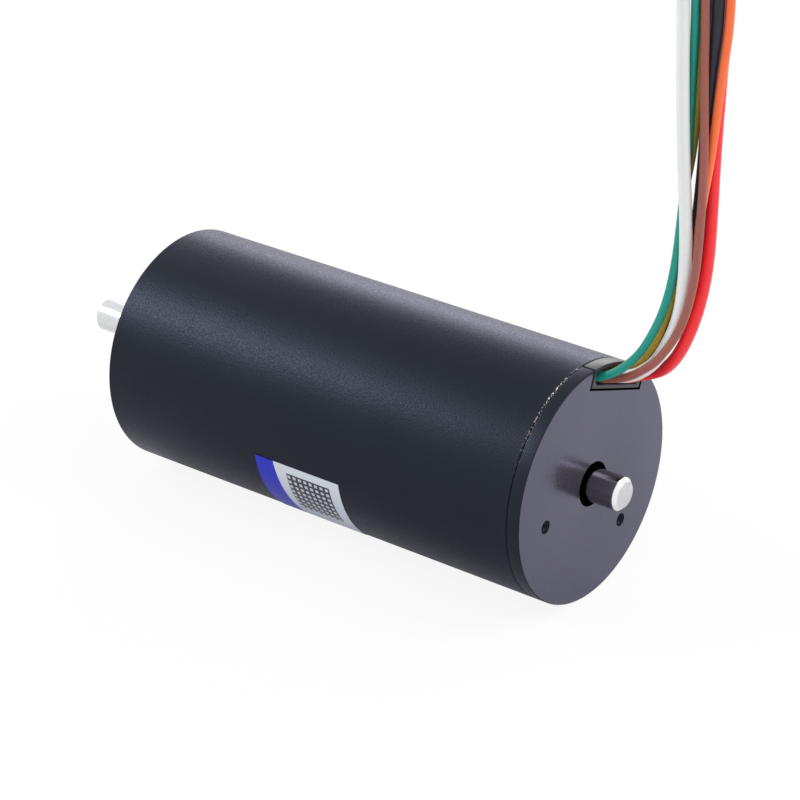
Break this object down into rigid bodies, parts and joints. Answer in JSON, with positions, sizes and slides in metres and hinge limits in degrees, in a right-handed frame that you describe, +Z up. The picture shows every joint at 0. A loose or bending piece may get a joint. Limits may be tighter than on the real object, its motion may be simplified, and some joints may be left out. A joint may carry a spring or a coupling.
{
  "type": "brushless coreless motor",
  "caption": "Slim round brushless coreless motor in a black anodised tube, with a ground shaft at both ends and coloured flying leads bent up from its rear face.",
  "frame": {"origin": "centre of the front mounting face, on the shaft axis", "axes": "+X along the shaft axis from the front face to the rear face, +Z up, towards the side of the rear face where the leads stand, +Y to its right side seen from behind"},
  "size_m": [0.1087, 0.036, 0.1064],
  "materials": {
    "black_anodised": "satin, bead-blasted and black anodised",
    "black_plastic": "moulded",
    "label_film": "printed polyester film",
    "lamination": "varnished",
    "amber_film": "clear amber film",
    "copper_enamel": "enamelled copper wire",
    "green_board": "solder mask",
    "plain_steel": "zinc plated",
    "spring_steel": "rolled",
    "ground_steel": "ground",
    "nickel_magnet": "nickel plated",
    "brass": "turned",
    "bearing_steel": "polished",
    "pressed_steel": "pressed",
    "tinned_copper": "tinned strands",
    "green_sleeve": "smooth",
    "brown_sleeve": "smooth",
    "orange_sleeve": "smooth",
    "yellow_sleeve": "smooth",
    "white_sleeve": "smooth",
    "black_sleeve": "smooth",
    "blue_sleeve": "smooth",
    "red_sleeve": "smooth"
  },
  "bodies": {
    "stator": {"housing_tube": "black_anodised", "front_flange": "black_anodised", "rear_cap": "black_anodised", "lead_outlet": "black_plastic", "rating_label": "label_film", "stator_yoke": "lamination", "yoke_liner": "amber_film", "winding": "copper_enamel", "hall_board": "green_board", "hall_sensors": "black_plastic", "board_screws": "plain_steel", "spring_washer": "spring_steel", "front_bearing_outer_ring": "bearing_steel", "rear_bearing_outer_ring": "bearing_steel", "front_bearing_shields": "pressed_steel", "rear_bearing_shields": "pressed_steel", "lead_green": "green_sleeve", "lead_brown": "brown_sleeve", "lead_orange": "orange_sleeve", "lead_yellow": "yellow_sleeve", "lead_white": "white_sleeve", "lead_black": "black_sleeve", "lead_blue": "blue_sleeve", "lead_red": "red_sleeve", "tip_green": "tinned_copper", "tip_brown": "tinned_copper", "tip_orange": "tinned_copper", "tip_yellow": "tinned_copper", "tip_white": "tinned_copper", "tip_black": "tinned_copper", "tip_blue": "tinned_copper", "tip_red": "tinned_copper"},
    "rotor": {"shaft": "ground_steel", "rotor_magnet": "nickel_magnet", "front_balance_ring": "brass", "rear_balance_ring": "brass", "front_shim": "plain_steel", "front_bearing_inner_ring": "bearing_steel", "rear_bearing_inner_ring": "bearing_steel"},
    "ball_sets": {"bearing_balls": "bearing_steel", "front_bearing_cage": "pressed_steel", "rear_bearing_cage": "pressed_steel"}
  },
  "joints": [
    {"name": "rotor_spin", "type": "hinge", "parent": "stator", "child": "rotor", "pos_m": [0, 0, 0], "axis": [1, 0, 0], "continuous": true},
    {"name": "ball_sets_spin", "type": "hinge", "parent": "stator", "child": "ball_sets", "pos_m": [0, 0, 0], "axis": [1, 0, 0], "continuous": true}
  ],
  "couplings": [
    {"joint": "ball_sets_spin", "follows": "rotor_spin", "ratio": 0.34881}
  ]
}
